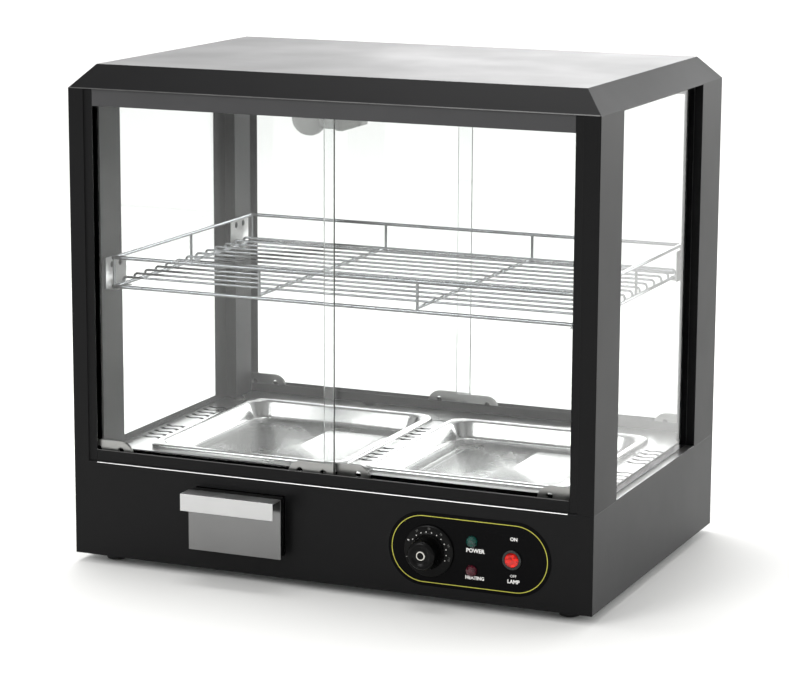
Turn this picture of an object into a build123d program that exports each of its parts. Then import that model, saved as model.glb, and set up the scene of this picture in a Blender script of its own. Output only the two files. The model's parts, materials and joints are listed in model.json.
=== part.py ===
from build123d import *
import os

os.makedirs("parts", exist_ok=True)

# Countertop heated display case, millimetres. +X is the case's right side as a
# customer sees it, -Y its front, +Z up. Heights in the names below are measured
# from the lower edge of the base unless their comment says otherwise.

# Case
case_width = 660.0
case_depth = 447.0
foot_height = 11.0
base_height = 115.5
window_height = 446.5
cap_rise = 27.0
cap_inset = 25.0
cap_edge_radius = 1.0
sheet = 1.2
base_flange = 35.0
side_seam_radius = 0.5
tray_edge_height = 15.0

# Posts
post_front_width = 20.0
post_side_width = 77.5
jamb_lip_width = 10.0
jamb_recess = 3.0
box_inset = 29.0
box_lap = 9.0
groove_depth = 23.5
groove_wall_inset = 12.0

# Side windows
window_return = 13.8
side_flange_width = 22.0
side_flange_foot = 10.5
side_flange_head = 6.0
glass_thickness = 4.0
glass_gap = 0.3

# Door tracks
track_lip_height = 14.5
track_head_height = 20.0
track_rib_height = 4.5
track_inner_setback = 24.3
outer_door_setback = 11.5
door_spacing = 8.5
track_clearance = 0.1

# Sliding doors
door_tuck = 14.0
door_overlap = 16.0
door_top_gap = 3.5
shoe_length = 58.0
shoe_height = 23.8
shoe_sheet = 1.0
shoe_corner_radius = 16.0
shoe_hole_diameter = 8.0
shoe_hole_spacing = 30.0
shoe_hole_edge = 13.0
shoe_hole_height = 12.5
shoe_grip_clearance = 0.1
glide_clearance = 0.3
seat_clearance = 0.2

# Deck and pans
deck_rise = 2.5
deck_sheet = 1.0
deck_side_gap = 0.2
pan_gap = 22.0
pan_side_gap = 41.8
pan_rim_depth = 290.0
pan_rim_rise = 6.0
pan_rim_width = 10.0
pan_rim_radius = 18.0
pan_sheet = 0.8
pan_sink = 22.0
pan_wall_slope = 9.0
pan_corner_radius = 25.0
pan_floor_radius = 19.0
pan_hole_clearance = 2.0
slot_length = 29.0
slot_width = 3.8
slot_sway = 5.6
slot_middle_length = 13.0
slot_bend_radius = 5.0
slot_pitch = 16.2
slots_per_group = 5
slot_group_spacing = 117.0
slot_edge_gap = 19.8

# Wire shelf
shelf_side_gap = 5.55
shelf_end_gap = 6.0
shelf_height = 323.0
guard_rise = 35.0
frame_rod_diameter = 4.5
deck_wire_diameter = 3.0
deck_wire_rise = 8.0
deck_wire_pitch = 27.0
deck_wire_margin = 20.0
deck_wire_bend = 4.0
cross_rod_place = 100.0
guard_post_diameter = 3.6
weld_depth = 0.2
wire_clearance = 0.1

# Shelf brackets
bracket_depth = 50.0
bracket_height = 38.0
bracket_sheet = 1.2
bracket_ledge_width = 13.0
bracket_ledge_setback = 9.0
bracket_hole_diameter = 8.0
bracket_hole_spacing = 20.0
bracket_hole_height = 27.0
bracket_front_setback = 32.5

# Lamp
ceiling_drop = 6.0
bulb_diameter = 44.0
bulb_place = -121.0
bulb_drop = 42.0
bulb_neck_diameter = 25.0
bulb_neck_length = 15.0
bulb_cap_diameter = 13.5
bulb_cap_length = 20.0
holder_diameter = 29.0
holder_length = 32.0
holder_wall = 3.0
holder_clearance = 0.5
lamp_bracket_width = 22.0
lamp_bracket_foot = 34.0

# Drawer
drawer_edge_gap = 222.0
drawer_face_width = 120.0
drawer_face_bottom = 26.3
drawer_top_gap = 17.1
drawer_standoff = 15.3
handle_reach = 37.5
handle_lip = 20.5
drawer_sheet = 1.0
drawer_face_sheet = 1.2
drawer_side_overlap = 3.0
drawer_depth = 196.0
drawer_cover = 36.0
drawer_floor_rise = 1.7
drawer_hole_clearance = 0.8
runner_guide_rise = 12.0
runner_ledge = 12.0
runner_overrun = 21.7
runner_side_clearance = 0.4

# Control panel
panel_length = 199.0
panel_edge_gap = 49.0
panel_bottom = 12.5
panel_top_gap = 16.0
panel_sheet = 0.8
knob_inset = 50.6
knob_drop = 1.5
knob_skirt_diameter = 61.0
knob_skirt_thickness = 3.0
knob_grip_diameter = 41.0
knob_tip_diameter = 34.0
knob_tip_rounding = 5.0
knob_reach = 24.0
knob_gap = 0.6
knob_wall = 2.5
knob_boss_diameter = 12.0
spindle_diameter = 6.0
spindle_clearance = 0.05
spindle_length = 42.0
spindle_tip_gap = 6.0
bushing_diameter = 10.0
thermostat_width = 40.0
thermostat_depth = 30.0
lamp_spacing = 52.4
green_lamp_rise = 15.0
red_lamp_drop = 19.3
lens_diameter = 14.0
lens_reach = 5.5
lens_stem_diameter = 10.0
lens_stem_length = 22.0
switch_spacing = 49.0
switch_drop = 1.0
bezel_diameter = 23.0
bezel_reach = 2.2
switch_barrel_diameter = 20.0
switch_barrel_length = 24.0
rocker_diameter = 16.8
rocker_clearance = 0.3
rocker_tilt = 9.0
rocker_reach = 4.2
rocker_pin_diameter = 2.0
rocker_pin_length = 1.0
pin_clearance = 0.05
panel_hole_clearance = 0.1

# Base interior
heater_diameter = 8.0
heater_height = 50.0
heater_end_gap = 120.0
heater_pitch = 70.0
heater_wall_gap = 128.5
clip_width = 12.0
clip_end_gap = 60.0
clip_clearance = 0.2
clip_sheet = 1.5
terminal_length = 60.0
terminal_depth = 18.0
terminal_height = 22.0
terminal_edge_gap = 130.0
terminal_wall_gap = 43.5
sensor_diameter = 6.0
sensor_length = 90.0
sensor_drop = 8.0
capillary_diameter = 2.0
capillary_bend = 15.0
gland_edge_gap = 80.0
gland_height = 40.0
gland_diameter = 20.0
gland_thread_diameter = 14.0
gland_reach = 10.0
gland_length = 22.0
gland_bore = 8.0

# Feet and screws
foot_inset_x = 38.0
foot_inset_y = 33.5
foot_top_diameter = 28.0
foot_bottom_diameter = 24.0
screw_head_diameter = 7.0
screw_head_height = 1.8
screw_diameter = 3.0
screw_length = 8.0
screw_count = 5
screw_end_gap = 70.0
screw_clearance = 0.1

# Places that follow from the sizes above
half_width = case_width / 2
half_depth = case_depth / 2
case_y = (handle_reach - gland_reach) / 2
post_top = base_height + window_height
cap_top = post_top + cap_rise
window_side = half_depth - post_side_width
jamb_tip = half_width - post_front_width - jamb_lip_width
jamb_face = half_depth - jamb_recess
box_face = half_width - box_inset
box_back = window_side + box_lap
box_front = half_depth - groove_depth
groove_wall = half_width - groove_wall_inset
flange_face = half_width - window_return - sheet
deck_top = base_height + deck_rise
track_inner = half_depth - track_inner_setback
outer_door = half_depth - outer_door_setback
inner_door = outer_door - door_spacing
door_reach = jamb_tip + door_tuck
door_width = door_reach + door_overlap / 2
deck_x = flange_face - deck_side_gap
pan_rim_length = deck_x - pan_gap / 2 - pan_side_gap
pan_spacing = pan_rim_length + pan_gap
ceiling_height = post_top - ceiling_drop
bulb_height = ceiling_height - bulb_drop
bracket_face = box_face - bracket_sheet
bracket_start = half_depth - bracket_front_setback
ledge_top = shelf_height - frame_rod_diameter / 2 - seat_clearance
drawer_place = drawer_edge_gap - half_width
drawer_face_top = base_height - drawer_top_gap
drawer_floor_height = drawer_face_bottom + drawer_floor_rise
panel_right = half_width - panel_edge_gap
panel_left = panel_right - panel_length
panel_top = base_height - panel_top_gap
panel_middle = (panel_bottom + panel_top) / 2
knob_place = panel_left + knob_inset
knob_height = panel_middle - knob_drop
lamp_column = knob_place + lamp_spacing
green_lamp_height = panel_middle + green_lamp_rise
red_lamp_height = panel_middle - red_lamp_drop
switch_place = lamp_column + switch_spacing
switch_height = panel_middle - switch_drop
gland_place = half_width - gland_edge_gap
screw_pitch = (case_width - 2 * screw_end_gap) / (screw_count - 1)
screw_spots = [
    ((index - (screw_count - 1) / 2) * screw_pitch, tray_edge_height / 2) for index in range(screw_count)
]

case_middle = Plane(origin=(0, case_y, 0), x_dir=(1, 0, 0), z_dir=(0, 1, 0))


def level(height):
    # Horizontal plane on the case's vertical axis
    return Plane(origin=(0, case_y, foot_height + height))


def facing(distance):
    # Upright plane that looks forward, distance in front of the case's middle
    return Plane(origin=(0, case_y - distance, foot_height), x_dir=(1, 0, 0), z_dir=(0, -1, 0))


def across(place):
    # Upright plane across the case, for profiles drawn in depth and height
    return Plane(origin=(place, case_y, foot_height), x_dir=(0, 1, 0), z_dir=(1, 0, 0))


def span(low_x, high_x, low_y, high_y, mode=Mode.ADD):
    # Rectangle between two corners, in the active sketch
    with Locations(((low_x + high_x) / 2, (low_y + high_y) / 2)):
        Rectangle(high_x - low_x, high_y - low_y, mode=mode)


def mirrored(source, about, label):
    # A piece's twin on the other side of the case, as a part of its own
    with BuildPart() as twin:
        mirror(source.part, about=about)
    twin.part.label = label
    return twin


def save(piece):
    export_step(piece.part, f"parts/{piece.part.label}.step")


# Base: four folded panels round a shallow bottom tray
drawer_hole_left = drawer_place - drawer_face_width / 2 + drawer_side_overlap - drawer_hole_clearance
drawer_hole_right = 2 * drawer_place - drawer_hole_left
drawer_hole_bottom = drawer_floor_height - drawer_hole_clearance
drawer_hole_top = drawer_face_top + drawer_hole_clearance
strip_edge = half_width - post_front_width

with BuildPart() as base_front_panel:
    with BuildSketch(across(-half_width)):
        span(-half_depth, -half_depth + sheet, 0, base_height)
        span(-half_depth, -half_depth + base_flange, base_height - sheet, base_height)
    extrude(amount=case_width)
    with BuildSketch(across(-strip_edge)):
        span(-half_depth, -half_depth + sheet, base_height - sheet, base_height)
        with Locations((-half_depth + sheet, base_height - sheet)):
            Circle(sheet, mode=Mode.SUBTRACT)
    extrude(amount=2 * strip_edge, mode=Mode.SUBTRACT)
    with BuildSketch(level(0)):
        for side in (-1, 1):
            inner = half_width - base_flange if side > 0 else -half_width
            span(inner, inner + base_flange, -half_depth + sheet, -half_depth + base_flange)
    extrude(amount=base_height, mode=Mode.SUBTRACT)
    corner_edges = base_front_panel.edges().filter_by(Axis.Z).group_by(Axis.Y)[0]
    fillet(corner_edges.filter_by(lambda edge: edge.length > base_height / 2), radius=sheet * 0.99)
    base_blank = base_front_panel.part
    with BuildSketch(facing(half_depth)):
        span(drawer_hole_left, drawer_hole_right, drawer_hole_bottom, drawer_hole_top)
        with Locations((knob_place, knob_height)):
            Circle(bushing_diameter / 2 + panel_hole_clearance)
        with Locations((lamp_column, green_lamp_height), (lamp_column, red_lamp_height)):
            Circle(lens_stem_diameter / 2 + panel_hole_clearance)
        with Locations((switch_place, switch_height)):
            Circle(switch_barrel_diameter / 2 + panel_hole_clearance)
    extrude(amount=-sheet, mode=Mode.SUBTRACT)
base_front_panel.part.label = "base_front_panel"

with BuildPart() as base_rear_panel:
    mirror(base_blank, about=case_middle)
    with BuildSketch(facing(-half_depth)):
        with Locations((gland_place, gland_height)):
            Circle(gland_thread_diameter / 2 + panel_hole_clearance)
        with Locations(*screw_spots):
            Circle(screw_diameter / 2 + screw_clearance)
    extrude(amount=sheet, mode=Mode.SUBTRACT)
base_rear_panel.part.label = "base_rear_panel"

side_panel_reach = half_depth - sheet
with BuildPart() as base_side_panel_right:
    with BuildSketch(level(0)):
        span(half_width - sheet, half_width, -side_panel_reach, side_panel_reach)
    extrude(amount=base_height)
    with BuildSketch(level(base_height - sheet)):
        span(half_width - base_flange, half_width, -side_panel_reach, side_panel_reach)
    extrude(amount=sheet)
    top_edges = base_side_panel_right.edges().filter_by(Axis.Y).group_by(Axis.Z)[-1]
    fillet(top_edges.sort_by(Axis.X)[-1], radius=side_seam_radius)
base_side_panel_right.part.label = "base_side_panel_right"
base_side_panel_left = mirrored(base_side_panel_right, Plane.YZ, "base_side_panel_left")

with BuildPart() as base_bottom_pan:
    pan_x = half_width - sheet
    pan_y = half_depth - sheet
    with BuildSketch(level(0)):
        span(-pan_x, pan_x, -pan_y, pan_y)
    extrude(amount=tray_edge_height)
    with BuildSketch(level(sheet)):
        span(-pan_x + sheet, pan_x - sheet, -pan_y + sheet, pan_y - sheet)
    extrude(amount=tray_edge_height - sheet, mode=Mode.SUBTRACT)
    with BuildSketch(facing(-half_depth + sheet)):
        with Locations(*screw_spots):
            Circle(screw_diameter / 2 + screw_clearance)
    extrude(amount=sheet, mode=Mode.SUBTRACT)
base_bottom_pan.part.label = "base_bottom_pan"

with BuildPart() as feet:
    foot_place_x = half_width - foot_inset_x
    foot_place_y = half_depth - foot_inset_y
    for side in (-1, 1):
        for end in (-1, 1):
            centre = (side * foot_place_x, case_y + end * foot_place_y, foot_height / 2)
            with Locations(centre):
                Cone(foot_bottom_diameter / 2, foot_top_diameter / 2, foot_height)
feet.part.label = "feet"

# Posts: a folded outer strip with a door jamb, and a box inside it
with BuildPart() as post_front_right:
    with BuildSketch(level(base_height)) as post_outline:
        span(half_width - post_front_width, half_width, -half_depth, -half_depth + sheet)
        span(half_width - sheet, half_width, -half_depth, -window_side)
        span(half_width - window_return, half_width, -window_side - sheet, -window_side)
        span(jamb_tip, strip_edge + sheet, -jamb_face, -jamb_face + sheet)
        span(strip_edge, strip_edge + sheet, -half_depth, -jamb_face + sheet)
        span(groove_wall - sheet, groove_wall, -half_depth + sheet, -box_front + sheet)
        span(box_face, groove_wall, -box_front, -box_front + sheet)
        span(box_face, box_face + sheet, -box_front, -box_back)
        span(box_face, half_width - sheet, -box_back - sheet, -box_back)
        outer_corner = post_outline.vertices().group_by(Axis.Y)[0].sort_by(Axis.X)[-1]
        fillet(outer_corner, radius=sheet * 0.99)
    extrude(amount=window_height)
post_front_right.part.label = "post_front_right"
post_front_left = mirrored(post_front_right, Plane.YZ, "post_front_left")
post_rear_right = mirrored(post_front_right, case_middle, "post_rear_right")
post_rear_left = mirrored(post_front_left, case_middle, "post_rear_left")

# Cap: a hipped sheet cover with a flange that lands on the posts
with BuildPart() as top_cap:
    with BuildSketch(level(post_top)):
        Rectangle(case_width, case_depth)
    with BuildSketch(level(cap_top)):
        Rectangle(case_width - 2 * cap_inset, case_depth - 2 * cap_inset)
    loft()
    slanted = top_cap.edges().filter_by(lambda edge: edge.length < 2 * (cap_inset + cap_rise))
    level_top = top_cap.edges().group_by(Axis.Z)[-1]
    fillet(slanted + level_top, radius=cap_edge_radius)
    wall = 2 * sheet
    with BuildSketch(level(post_top + sheet)):
        Rectangle(case_width - 2 * wall, case_depth - 2 * wall)
    with BuildSketch(level(cap_top - sheet)):
        Rectangle(case_width - 2 * (cap_inset + sheet), case_depth - 2 * (cap_inset + sheet))
    loft(mode=Mode.SUBTRACT)
    with BuildSketch(level(post_top)):
        Rectangle(case_width - 2 * base_flange, case_depth - 2 * base_flange)
    extrude(amount=sheet, mode=Mode.SUBTRACT)
top_cap.part.label = "top_cap"

with BuildPart() as ceiling_panel:
    ceiling_x = box_face - glass_gap
    ceiling_y = track_inner - glass_gap
    with BuildSketch(level(ceiling_height)):
        Rectangle(2 * ceiling_x, 2 * ceiling_y)
    extrude(amount=ceiling_drop)
    with BuildSketch(level(ceiling_height + sheet)):
        Rectangle(2 * (ceiling_x - sheet), 2 * (ceiling_y - sheet))
    extrude(amount=ceiling_drop - sheet, mode=Mode.SUBTRACT)
ceiling_panel.part.label = "ceiling_panel"

# Tracks: the lower one with a low middle rib, the upper one a double channel
track_reach = jamb_tip - track_clearance
rib_middle = (outer_door + inner_door) / 2
with BuildPart() as track_front_bottom:
    with BuildSketch(across(-track_reach)):
        span(-jamb_face, -track_inner, base_height, base_height + sheet)
        span(-jamb_face, -jamb_face + sheet, base_height, base_height + track_lip_height)
        span(-track_inner - sheet, -track_inner, base_height, base_height + track_lip_height)
        span(-rib_middle - sheet / 2, -rib_middle + sheet / 2, base_height, base_height + track_rib_height)
    extrude(amount=2 * track_reach)
track_front_bottom.part.label = "track_front_bottom"
track_rear_bottom = mirrored(track_front_bottom, case_middle, "track_rear_bottom")

with BuildPart() as track_front_top:
    with BuildSketch(across(-track_reach)):
        span(-jamb_face, -track_inner, post_top - sheet, post_top)
        for line in (-jamb_face, -rib_middle - sheet / 2, -track_inner - sheet):
            span(line, line + sheet, post_top - track_head_height, post_top)
    extrude(amount=2 * track_reach)
track_front_top.part.label = "track_front_top"
track_rear_top = mirrored(track_front_top, case_middle, "track_rear_top")

# Side windows: a rebate frame in each side wall and its fixed pane
with BuildPart() as side_frame_right:
    with BuildSketch(across(flange_face)):
        span(-box_back, box_back, base_height, post_top)
        span(
            -window_side + side_flange_width, window_side - side_flange_width,
            base_height + side_flange_foot, post_top - side_flange_head, mode=Mode.SUBTRACT,
        )
    extrude(amount=sheet)
    for low in (base_height, post_top - sheet):
        with BuildSketch(level(low)):
            span(flange_face, half_width, -window_side, window_side)
        extrude(amount=sheet)
side_frame_right.part.label = "side_frame_right"
side_frame_left = mirrored(side_frame_right, Plane.YZ, "side_frame_left")

with BuildPart() as side_glass_right:
    pane_low = base_height + sheet + glass_gap
    pane_high = post_top - sheet - glass_gap
    with BuildSketch(across(flange_face + sheet)):
        span(-window_side + glass_gap, window_side - glass_gap, pane_low, pane_high)
    extrude(amount=glass_thickness)
side_glass_right.part.label = "side_glass_right"
side_glass_left = mirrored(side_glass_right, Plane.YZ, "side_glass_left")

# Deck: a shallow folded sheet with two pan holes and three strips of vents
pan_places = (-pan_spacing / 2, pan_spacing / 2)
body_length = pan_rim_length - 2 * pan_rim_width
body_depth = pan_rim_depth - 2 * pan_rim_width
deck_y = track_inner - deck_side_gap
neck_x = box_face - deck_side_gap
neck_y = box_back - deck_side_gap
slot_side_place = deck_x - slot_edge_gap

with BuildSketch(mode=Mode.PRIVATE) as vent_slot:
    with BuildLine():
        FilletPolyline(
            (-slot_length / 2 + slot_width / 2, slot_sway / 2),
            (-slot_middle_length / 2, -slot_sway / 2),
            (slot_middle_length / 2, slot_sway / 2),
            (slot_length / 2 - slot_width / 2, -slot_sway / 2),
            radius=slot_bend_radius,
        )
        offset(amount=slot_width / 2, side=Side.BOTH)
    make_face()

with BuildPart() as deck:
    with BuildSketch(level(base_height)):
        span(-deck_x, deck_x, -neck_y, neck_y)
        span(-neck_x, neck_x, -deck_y, deck_y)
    extrude(amount=deck_rise)
    with BuildSketch(level(base_height)):
        span(-deck_x + deck_sheet, deck_x - deck_sheet, -neck_y + deck_sheet, neck_y - deck_sheet)
        span(-neck_x + deck_sheet, neck_x - deck_sheet, -deck_y + deck_sheet, deck_y - deck_sheet)
    extrude(amount=deck_rise - deck_sheet, mode=Mode.SUBTRACT)
    with BuildSketch(level(deck_top)):
        with Locations(*[(place, 0) for place in pan_places]):
            RectangleRounded(
                body_length + 2 * pan_hole_clearance,
                body_depth + 2 * pan_hole_clearance,
                pan_corner_radius + pan_hole_clearance,
            )
        for place in (-slot_side_place, 0, slot_side_place):
            for group in (-slot_group_spacing / 2, slot_group_spacing / 2):
                with Locations((place, group)):
                    with GridLocations(slot_length, slot_pitch, 1, slots_per_group):
                        add(vent_slot.sketch)
    extrude(amount=-deck_sheet, mode=Mode.SUBTRACT)
deck.part.label = "deck"

# Pans: pressed trays that hang in the deck's holes by their folded rims
rim_top = deck_top + pan_rim_rise


def pan(place, label):
    with BuildPart() as tray:
        with BuildSketch(level(deck_top)):
            with Locations((place, 0)):
                RectangleRounded(pan_rim_length, pan_rim_depth, pan_rim_radius)
        extrude(amount=pan_rim_rise)
        with BuildSketch(level(deck_top)):
            with Locations((place, 0)):
                RectangleRounded(
                    pan_rim_length - 2 * pan_sheet, pan_rim_depth - 2 * pan_sheet, pan_rim_radius - pan_sheet
                )
        extrude(amount=pan_rim_rise - pan_sheet, mode=Mode.SUBTRACT)
        for wall, mode in ((pan_sheet, Mode.ADD), (0, Mode.SUBTRACT)):
            with BuildSketch(level(rim_top)):
                with Locations((place, 0)):
                    RectangleRounded(body_length + 2 * wall, body_depth + 2 * wall, pan_corner_radius + wall)
            with BuildSketch(level(rim_top - pan_sink - wall)):
                with Locations((place, 0)):
                    RectangleRounded(
                        body_length - 2 * (pan_wall_slope - wall),
                        body_depth - 2 * (pan_wall_slope - wall),
                        pan_floor_radius + wall,
                    )
            loft(mode=mode)
    tray.part.label = label
    return tray


pan_left = pan(pan_places[0], "pan_left")
pan_right = pan(pan_places[1], "pan_right")

# Doors: four panes in two pairs of lanes, each with a folded shoe at both ends
glass_low = base_height + sheet + glide_clearance + shoe_sheet + seat_clearance
glass_high = post_top - sheet - door_top_gap
left_door = (-door_reach, -door_reach + door_width)
right_door = (door_reach - door_width, door_reach)


def pane(edges, lane, label):
    with BuildPart() as glass:
        with BuildSketch(facing(lane + glass_thickness / 2)):
            span(edges[0], edges[1], glass_low, glass_high)
        extrude(amount=-glass_thickness)
    glass.part.label = label
    return glass


def shoes(edges, lane, label):
    shoe_low = base_height + sheet + glide_clearance
    grip = glass_thickness / 2 + shoe_grip_clearance
    with BuildPart() as pair:
        with BuildSketch(facing(lane + grip + shoe_sheet)) as cheek:
            for edge, inward in ((edges[0], 1), (edges[1], -1)):
                far = edge + inward * shoe_length
                span(min(edge, far), max(edge, far), shoe_low, shoe_low + shoe_height)
            tops = cheek.vertices().group_by(Axis.Y)[-1].sort_by(Axis.X)
            fillet(tops[1:3], radius=shoe_corner_radius)
            for edge, inward in ((edges[0], 1), (edges[1], -1)):
                for along in (shoe_hole_edge, shoe_hole_edge + shoe_hole_spacing):
                    with Locations((edge + inward * along, shoe_low + shoe_hole_height)):
                        Circle(shoe_hole_diameter / 2, mode=Mode.SUBTRACT)
        extrude(amount=-2 * (grip + shoe_sheet))
        with BuildSketch(facing(lane + grip)):
            span(edges[0], edges[1], shoe_low + shoe_sheet, shoe_low + shoe_height)
        extrude(amount=-2 * grip, mode=Mode.SUBTRACT)
    pair.part.label = label
    return pair


door_glass_front_left = pane(left_door, outer_door, "door_glass_front_left")
door_glass_front_right = pane(right_door, inner_door, "door_glass_front_right")
door_glass_rear_left = pane(left_door, -outer_door, "door_glass_rear_left")
door_glass_rear_right = pane(right_door, -inner_door, "door_glass_rear_right")
door_shoes_front_left = shoes(left_door, outer_door, "door_shoes_front_left")
door_shoes_front_right = shoes(right_door, inner_door, "door_shoes_front_right")
door_shoes_rear_left = shoes(left_door, -outer_door, "door_shoes_rear_left")
door_shoes_rear_right = shoes(right_door, -inner_door, "door_shoes_rear_right")

# Wire shelf: two welded rod frames joined by guard posts, with bent deck wires
shelf_x = bracket_face - shelf_side_gap - frame_rod_diameter / 2
shelf_y = bracket_start - shelf_end_gap
guard_height = shelf_height + guard_rise
wire_height = shelf_height + deck_wire_rise
rod_top = shelf_height + frame_rod_diameter / 2
cross_rod_diameter = wire_height - deck_wire_diameter / 2 - wire_clearance - rod_top + weld_depth
cross_rod_height = rod_top - weld_depth + cross_rod_diameter / 2
wires_per_half = int((shelf_y - deck_wire_margin) / deck_wire_pitch)
wire_y = [index * deck_wire_pitch for index in range(-wires_per_half, wires_per_half + 1)]


def rod(start, end, diameter):
    # Straight rod between two points given as across, in depth and height
    first = Vector(start[0], case_y + start[1], foot_height + start[2])
    last = Vector(end[0], case_y + end[1], foot_height + end[2])
    with BuildLine() as path:
        Line(first, last)
    with BuildSketch(Plane(origin=first, z_dir=last - first)) as section:
        Circle(diameter / 2)
    sweep(section.sketch, path=path.line)


with BuildPart() as shelf_frame:
    reach_x = shelf_x + frame_rod_diameter / 2
    reach_y = shelf_y + frame_rod_diameter / 2
    for height in (shelf_height, guard_height):
        for side in (-1, 1):
            rod((-reach_x, side * shelf_y, height), (reach_x, side * shelf_y, height), frame_rod_diameter)
            rod((side * shelf_x, -reach_y, height), (side * shelf_x, reach_y, height), frame_rod_diameter)
    for side in (-1, 1):
        for x in (-shelf_x, -cross_rod_place, cross_rod_place, shelf_x):
            rod((x, side * shelf_y, shelf_height), (x, side * shelf_y, guard_height), guard_post_diameter)
        middle = (side * shelf_x, deck_wire_pitch / 2)
        rod((*middle, shelf_height), (*middle, guard_height), guard_post_diameter)
    for x in (-cross_rod_place, cross_rod_place):
        rod((x, -shelf_y, cross_rod_height), (x, shelf_y, cross_rod_height), cross_rod_diameter)
shelf_frame.part.label = "shelf_frame"

with BuildPart() as shelf_wires:
    for y in wire_y:
        corner = frame_rod_diameter / 2 + seat_clearance
        with BuildLine() as wire_path:
            FilletPolyline(
                (-shelf_x, case_y + y, foot_height + shelf_height + corner),
                (-shelf_x, case_y + y, foot_height + wire_height),
                (shelf_x, case_y + y, foot_height + wire_height),
                (shelf_x, case_y + y, foot_height + shelf_height + corner),
                radius=deck_wire_bend,
            )
        with BuildSketch(Plane(origin=wire_path.line @ 0, z_dir=wire_path.line % 0)):
            Circle(deck_wire_diameter / 2)
        sweep(path=wire_path.line)
shelf_wires.part.label = "shelf_wires"

with BuildPart() as shelf_brackets:
    for side in (-1, 1):
        for end in (-1, 1):
            with BuildSketch(across(side * bracket_face)):
                low, high = sorted((end * bracket_start, end * (bracket_start - bracket_depth)))
                span(low, high, ledge_top - bracket_sheet, ledge_top - bracket_sheet + bracket_height)
                holes = (bracket_depth - bracket_hole_spacing) / 2
                for along in (holes, holes + bracket_hole_spacing):
                    with Locations((end * (bracket_start - along), ledge_top + bracket_hole_height)):
                        Circle(bracket_hole_diameter / 2, mode=Mode.SUBTRACT)
            extrude(amount=side * bracket_sheet)
            with BuildSketch(level(ledge_top - bracket_sheet)):
                near, far = sorted((side * box_face, side * (bracket_face - bracket_ledge_width)))
                ledge_end = bracket_start - bracket_depth + bracket_ledge_setback
                low, high = sorted((end * bracket_start, end * ledge_end))
                span(near, far, low, high)
            extrude(amount=bracket_sheet)
shelf_brackets.part.label = "shelf_brackets"

# Lamp: a round bulb lying along the ceiling in a holder on a small bracket
bulb_plane = Plane(
    origin=(bulb_place, case_y, foot_height + bulb_height), x_dir=(1, 0, 0), z_dir=(0, -1, 0)
)
neck_start = (bulb_diameter**2 - bulb_neck_diameter**2) ** 0.5 / 2
neck_end = bulb_diameter / 2 + bulb_neck_length
with BuildPart() as bulb:
    with BuildSketch(bulb_plane):
        with BuildLine():
            ThreePointArc(
                (-bulb_diameter / 2, 0), (0, bulb_diameter / 2), (neck_start, bulb_neck_diameter / 2)
            )
            Line((neck_start, bulb_neck_diameter / 2), (neck_end, bulb_neck_diameter / 2))
            Line((neck_end, bulb_neck_diameter / 2), (neck_end, bulb_cap_diameter / 2))
            Line((neck_end, bulb_cap_diameter / 2), (neck_end + bulb_cap_length, bulb_cap_diameter / 2))
            Line((neck_end + bulb_cap_length, bulb_cap_diameter / 2), (neck_end + bulb_cap_length, 0))
            Line((neck_end + bulb_cap_length, 0), (-bulb_diameter / 2, 0))
        make_face()
    revolve(axis=Axis(bulb_plane.origin, (1, 0, 0)))
bulb.part.label = "bulb"

holder_end = neck_end + holder_length
with BuildPart() as lamp_holder:
    with BuildSketch(Plane.YZ.offset(bulb_place + neck_end)):
        with Locations((case_y, foot_height + bulb_height)):
            Circle(holder_diameter / 2)
    extrude(amount=holder_length)
    with BuildSketch(Plane.YZ.offset(bulb_place + neck_end)):
        with Locations((case_y, foot_height + bulb_height)):
            Circle(bulb_cap_diameter / 2 + holder_clearance)
    extrude(amount=bulb_cap_length + seat_clearance, mode=Mode.SUBTRACT)
    holder_back = bulb_place + holder_end
    with BuildSketch(facing(lamp_bracket_width / 2)):
        with BuildLine():
            Polyline(
                (holder_back, bulb_height - holder_diameter / 2),
                (holder_back, ceiling_height),
                (holder_back + lamp_bracket_foot, ceiling_height),
                (holder_back + lamp_bracket_foot, ceiling_height - holder_wall),
                (holder_back + holder_wall, bulb_height - holder_diameter / 2),
                close=True,
            )
        make_face()
    extrude(amount=-lamp_bracket_width)
lamp_holder.part.label = "lamp_holder"

# Water drawer: an open tray behind a face plate with a folded handle
face_front = half_depth + drawer_standoff + drawer_face_sheet
handle_front = half_depth + handle_reach
tray_left = drawer_place - drawer_face_width / 2 + drawer_side_overlap
tray_right = 2 * drawer_place - tray_left
tray_back = half_depth + drawer_standoff - drawer_depth
with BuildPart() as drawer_tray:
    with BuildSketch(level(drawer_floor_height)):
        span(tray_left, tray_right, -half_depth - drawer_standoff, -tray_back)
    extrude(amount=drawer_face_top - drawer_floor_height)
    with BuildSketch(level(drawer_floor_height + drawer_sheet)):
        span(
            tray_left + drawer_sheet, tray_right - drawer_sheet,
            -half_depth - drawer_standoff + drawer_sheet, -tray_back - drawer_sheet,
        )
    extrude(amount=drawer_face_top - drawer_floor_height - 2 * drawer_sheet, mode=Mode.SUBTRACT)
    with BuildSketch(level(drawer_face_top - drawer_sheet)):
        span(
            tray_left + drawer_sheet, tray_right - drawer_sheet,
            -half_depth - drawer_standoff + drawer_cover, -tray_back - drawer_sheet,
        )
    extrude(amount=drawer_sheet, mode=Mode.SUBTRACT)
drawer_tray.part.label = "drawer_tray"

with BuildPart() as drawer_face:
    with BuildSketch(across(drawer_place - drawer_face_width / 2)):
        span(-face_front, -face_front + drawer_face_sheet, drawer_face_bottom, drawer_face_top)
        span(-handle_front, -face_front, drawer_face_top - drawer_face_sheet, drawer_face_top)
        span(-handle_front, -handle_front + drawer_face_sheet, drawer_face_top - handle_lip, drawer_face_top)
    extrude(amount=drawer_face_width)
drawer_face.part.label = "drawer_face"

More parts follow.
